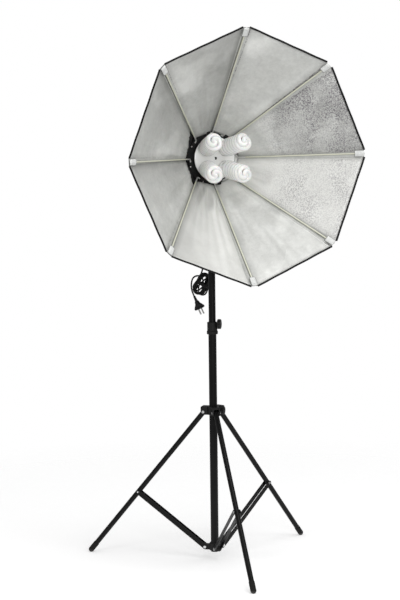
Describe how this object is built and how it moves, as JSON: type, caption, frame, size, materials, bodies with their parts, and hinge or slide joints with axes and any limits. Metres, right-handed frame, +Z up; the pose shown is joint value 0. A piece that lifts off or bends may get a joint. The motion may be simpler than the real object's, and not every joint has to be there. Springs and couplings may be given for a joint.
{
  "type": "studio softbox",
  "caption": "Octagonal softbox with a silver lining on a lamp head with spiral bulbs, on a telescopic light stand with folding tripod legs and a tied mains lead.",
  "frame": {"origin": "on the floor, under the middle of the object without its cord", "axes": "+Z up, the softbox opens towards -Y, +X to the right of a viewer who looks into the softbox"},
  "size_m": [0.7687, 0.6779, 1.6442],
  "materials": {
    "black_steel": "satin black powder coat",
    "black_plastic": "fine-grained moulded black plastic",
    "foot_rubber": "matt black rubber",
    "zinc_steel": "zinc-plated rivets and screws",
    "spigot_metal": "nickel-plated brass",
    "cast_black": "black-painted die casting",
    "white_plastic": "glossy white moulded plastic",
    "socket_plastic": "white lamp socket",
    "lamp_cap": "bare screw cap",
    "phosphor_glass": "white phosphor-coated glass tube",
    "softbox_fabric": "black nylon with a silver lining",
    "black_fabric": "black nylon and woven piping",
    "white_fabric": "white woven pockets",
    "fibreglass": "pale fibreglass rod",
    "cord_jacket": "black flexible lead and moulded plug",
    "plug_metal": "nickel-plated plug pins"
  },
  "bodies": {
    "stand_base": {"lower_tube": "black_steel", "tube_end_plug": "black_plastic", "base_spider": "black_plastic", "brace_pins": "zinc_steel", "lower_clamp": "black_plastic"},
    "lower_clamp_knob": {"lower_clamp_knob": "black_plastic"},
    "crown": {"leg_crown": "black_plastic", "leg_pins": "zinc_steel"},
    "crown_knob": {"crown_knob": "black_plastic"},
    "middle_section": {"middle_tube": "black_steel", "upper_clamp": "black_plastic"},
    "upper_clamp_knob": {"upper_clamp_knob": "black_plastic"},
    "top_section": {"top_tube": "black_steel", "spigot": "spigot_metal"},
    "head_mount": {"spigot_receiver": "cast_black", "tilt_bolt": "zinc_steel"},
    "receiver_knob": {"receiver_knob": "black_plastic"},
    "tilt_knob": {"tilt_knob": "black_plastic"},
    "lamp_head": {"tilt_bracket": "cast_black", "lamp_housing": "black_plastic", "socket_plate": "white_plastic", "lamp_sockets": "socket_plastic", "socket_contacts": "spigot_metal", "strain_relief": "foot_rubber", "rib_ring": "black_plastic", "softbox_ribs": "fibreglass", "softbox_shell": "softbox_fabric", "rear_collar": "black_fabric", "rim_piping": "black_fabric", "corner_pockets": "white_fabric"},
    "switch_left": {"switch_left": "black_plastic"},
    "switch_right": {"switch_right": "black_plastic"},
    "cord": {"cord_lead": "cord_jacket", "cord_hank": "cord_jacket", "cord_tail": "cord_jacket", "cord_tie": "cord_jacket", "plug_body": "cord_jacket", "plug_pins": "plug_metal"},
    "leg_a": {"leg_a": "black_steel", "foot_cap_a": "foot_rubber"},
    "brace_a": {"brace_a": "black_steel"},
    "leg_b": {"leg_b": "black_steel", "foot_cap_b": "foot_rubber"},
    "brace_b": {"brace_b": "black_steel"},
    "leg_c": {"leg_c": "black_steel", "foot_cap_c": "foot_rubber"},
    "brace_c": {"brace_c": "black_steel"},
    "bulb_1": {"bulb_1_ballast": "white_plastic", "bulb_1_cap": "lamp_cap", "bulb_1_spiral": "phosphor_glass"},
    "bulb_2": {"bulb_2_ballast": "white_plastic", "bulb_2_cap": "lamp_cap", "bulb_2_spiral": "phosphor_glass"},
    "bulb_3": {"bulb_3_ballast": "white_plastic", "bulb_3_cap": "lamp_cap", "bulb_3_spiral": "phosphor_glass"},
    "bulb_4": {"bulb_4_ballast": "white_plastic", "bulb_4_cap": "lamp_cap", "bulb_4_spiral": "phosphor_glass"}
  },
  "joints": [
    {"name": "stand_fold", "type": "slide", "parent": "stand_base", "child": "crown", "axis": [0, 0, 1], "range_m": [0, 0.18775]},
    {"name": "leg_a_hinge", "type": "hinge", "parent": "crown", "child": "leg_a", "pos_m": [-0.02386, 0.09818, 0.4715], "axis": [-0.606, -0.7955, 0], "range_deg": [0, 37.65]},
    {"name": "brace_a_hinge", "type": "hinge", "parent": "stand_base", "child": "brace_a", "pos_m": [-0.02386, 0.09818, 0.0385], "axis": [0.606, 0.7955, 0], "range_deg": [0, 50.31]},
    {"name": "leg_b_hinge", "type": "hinge", "parent": "crown", "child": "leg_b", "pos_m": [0.02768, 0.09158, 0.4715], "axis": [-0.3859, 0.9225, 0], "range_deg": [0, 37.65]},
    {"name": "brace_b_hinge", "type": "hinge", "parent": "stand_base", "child": "brace_b", "pos_m": [0.02768, 0.09158, 0.0385], "axis": [0.3859, -0.9225, 0], "range_deg": [0, 50.31]},
    {"name": "leg_c_hinge", "type": "hinge", "parent": "crown", "child": "leg_c", "pos_m": [-0.00381, 0.05024, 0.4715], "axis": [0.9919, -0.1271, 0], "range_deg": [0, 37.65]},
    {"name": "brace_c_hinge", "type": "hinge", "parent": "stand_base", "child": "brace_c", "pos_m": [-0.00381, 0.05024, 0.0385], "axis": [-0.9919, 0.1271, 0], "range_deg": [0, 50.31]},
    {"name": "middle_slide", "type": "slide", "parent": "stand_base", "child": "middle_section", "axis": [0, 0, 1], "range_m": [-0.2625, 0.18]},
    {"name": "top_slide", "type": "slide", "parent": "middle_section", "child": "top_section", "axis": [0, 0, 1], "range_m": [0, 0.41]},
    {"name": "head_pan", "type": "hinge", "parent": "top_section", "child": "head_mount", "pos_m": [0, 0.08, 1.072], "axis": [0, 0, 1], "continuous": true},
    {"name": "head_tilt", "type": "hinge", "parent": "head_mount", "child": "lamp_head", "pos_m": [0, 0.08, 1.1405], "axis": [1, 0, 0], "range_deg": [-75, 35]},
    {"name": "lower_knob_turn", "type": "hinge", "parent": "stand_base", "child": "lower_clamp_knob", "pos_m": [0, 0.08, 0.749], "axis": [0.8192, -0.5736, 0], "continuous": true},
    {"name": "upper_knob_turn", "type": "hinge", "parent": "middle_section", "child": "upper_clamp_knob", "pos_m": [0, 0.08, 1.0515], "axis": [0.8192, -0.5736, 0], "continuous": true},
    {"name": "crown_knob_turn", "type": "hinge", "parent": "crown", "child": "crown_knob", "pos_m": [0, 0.08, 0.4765], "axis": [0.7955, -0.606, 0], "continuous": true},
    {"name": "receiver_knob_turn", "type": "hinge", "parent": "head_mount", "child": "receiver_knob", "pos_m": [0, 0.08, 1.091], "axis": [-1, 0, 0], "continuous": true},
    {"name": "tilt_knob_turn", "type": "hinge", "parent": "head_mount", "child": "tilt_knob", "pos_m": [0, 0.08, 1.1405], "axis": [1, 0, 0], "continuous": true},
    {"name": "switch_left_rock", "type": "hinge", "parent": "lamp_head", "child": "switch_left", "pos_m": [-0.017, 0.133, 1.2775], "axis": [-1, 0, 0], "range_deg": [0, 14]},
    {"name": "switch_right_rock", "type": "hinge", "parent": "lamp_head", "child": "switch_right", "pos_m": [0.017, 0.133, 1.2775], "axis": [-1, 0, 0], "range_deg": [0, 14]},
    {"name": "bulb_1_turn", "type": "hinge", "parent": "lamp_head", "child": "bulb_1", "pos_m": [-0.02828, 0.048, 1.29378], "axis": [-0.1747, -0.969, 0.1747], "continuous": true},
    {"name": "bulb_2_turn", "type": "hinge", "parent": "lamp_head", "child": "bulb_2", "pos_m": [0.02828, 0.048, 1.29378], "axis": [0.1747, -0.969, 0.1747], "continuous": true},
    {"name": "bulb_3_turn", "type": "hinge", "parent": "lamp_head", "child": "bulb_3", "pos_m": [0.02828, 0.048, 1.23722], "axis": [0.1747, -0.969, -0.1747], "continuous": true},
    {"name": "bulb_4_turn", "type": "hinge", "parent": "lamp_head", "child": "bulb_4", "pos_m": [-0.02828, 0.048, 1.23722], "axis": [-0.1747, -0.969, -0.1747], "continuous": true},
    {"name": "cord_plumb", "type": "hinge", "parent": "lamp_head", "child": "cord", "pos_m": [0, 0.15242, 1.18796], "axis": [1, 0, 0], "range_deg": [-35.1, 75.1]}
  ],
  "couplings": [
    {"joint": "leg_a_hinge", "follows": "stand_fold", "rad_per_m": 3.495},
    {"joint": "brace_a_hinge", "follows": "stand_fold", "rad_per_m": 4.6721},
    {"joint": "leg_b_hinge", "follows": "stand_fold", "rad_per_m": 3.495},
    {"joint": "brace_b_hinge", "follows": "stand_fold", "rad_per_m": 4.6721},
    {"joint": "leg_c_hinge", "follows": "stand_fold", "rad_per_m": 3.495},
    {"joint": "brace_c_hinge", "follows": "stand_fold", "rad_per_m": 4.6721},
    {"joint": "cord_plumb", "follows": "head_tilt", "ratio": -1}
  ]
}
